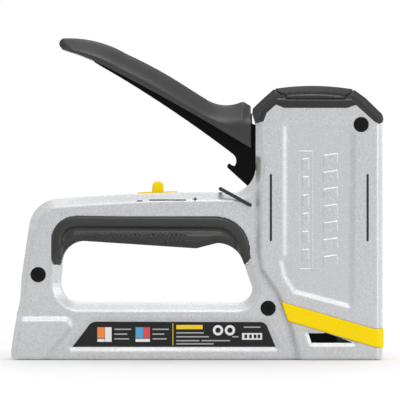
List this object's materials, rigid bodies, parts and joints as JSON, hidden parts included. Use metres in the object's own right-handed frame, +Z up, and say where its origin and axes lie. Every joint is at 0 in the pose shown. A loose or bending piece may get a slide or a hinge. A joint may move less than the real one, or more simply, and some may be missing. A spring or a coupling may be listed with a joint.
{
  "type": "staple gun",
  "caption": "Hand staple gun with a cast two-shell body, squeeze lever, wire lock, power slider and rear-loading magazine.",
  "frame": {"origin": "under the middle of the base, on the plane where the two shells meet", "axes": "+X points to the nose where staples leave, +Z up, the lever's pivot runs along Y"},
  "size_m": [0.2096, 0.034, 0.181],
  "materials": {
    "cast_body": "fine textured silver paint, satin",
    "bumper_plastic": "dark grey moulded plastic, satin",
    "grip_rubber": "moulded rubber with a cross-hatched field",
    "label_film": "printed film",
    "yellow_plastic": "yellow moulded plastic",
    "steel": "zinc plated",
    "black_steel": "black oxide",
    "spring_steel": "bare spring wire",
    "buffer_rubber": "plain",
    "inner_plastic": "moulded"
  },
  "bodies": {
    "housing": {"right_shell": "cast_body", "left_shell": "cast_body", "top_cap_frame": "bumper_plastic", "top_cap_pad": "bumper_plastic", "right_grip": "grip_rubber", "left_grip": "grip_rubber", "right_label": "label_film", "left_label": "label_film", "nose_band": "yellow_plastic", "nose_plate": "steel", "housing_screws": "black_steel", "screw_caps": "black_steel", "spring_seat_pin": "black_steel", "lever_pivot_pin": "steel", "spring_seat": "steel", "striker_buffer": "buffer_rubber", "buffer_bracket": "steel", "magazine_channel": "steel", "main_spring": "spring_steel"},
    "lever": {"lever_channel": "black_steel", "lever_cover": "bumper_plastic", "lifting_arm": "steel", "lever_rivets": "black_steel"},
    "striker": {"striker_block": "steel", "driver_blade": "steel"},
    "bail": {"lock_bail": "spring_steel"},
    "selector": {"selector_slider": "yellow_plastic", "power_link": "steel"},
    "magazine": {"magazine_rail": "steel", "rail_end_cap": "bumper_plastic", "pusher_rod": "steel", "pusher_spring": "spring_steel"},
    "pusher": {"staple_pusher": "inner_plastic"},
    "latch": {"release_latch": "yellow_plastic"}
  },
  "joints": [
    {"name": "lever_squeeze", "type": "hinge", "parent": "housing", "child": "lever", "pos_m": [0.0497, 0, 0.0971], "axis": [0, -1, 0], "range_deg": [0, 22], "stiffness_Nm_per_rad": 2, "springref_deg": -17.19},
    {"name": "striker_lift", "type": "slide", "parent": "housing", "child": "striker", "axis": [0, 0, 1], "range_m": [0, 0.0165], "deforming": ["main_spring"]},
    {"name": "bail_swing", "type": "hinge", "parent": "housing", "child": "bail", "pos_m": [0.0296, 0, 0.0869], "axis": [0, 1, 0], "range_deg": [0, 18]},
    {"name": "selector_slide", "type": "slide", "parent": "housing", "child": "selector", "axis": [1, 0, 0], "range_m": [-0.008, 0.014]},
    {"name": "magazine_slide", "type": "slide", "parent": "housing", "child": "magazine", "axis": [-1, 0, 0], "range_m": [0, 0.12]},
    {"name": "pusher_slide", "type": "slide", "parent": "magazine", "child": "pusher", "axis": [-1, 0, 0], "range_m": [0, 0.11], "stiffness_N_per_m": 20, "springref_m": -0.1, "deforming": ["pusher_spring"]},
    {"name": "latch_press", "type": "slide", "parent": "magazine", "child": "latch", "axis": [1, 0, 0], "range_m": [0, 0.0015], "stiffness_N_per_m": 400, "springref_m": -0.002}
  ],
  "couplings": [
    {"joint": "striker_lift", "follows": "lever_squeeze", "m_per_rad": 0.0422}
  ]
}
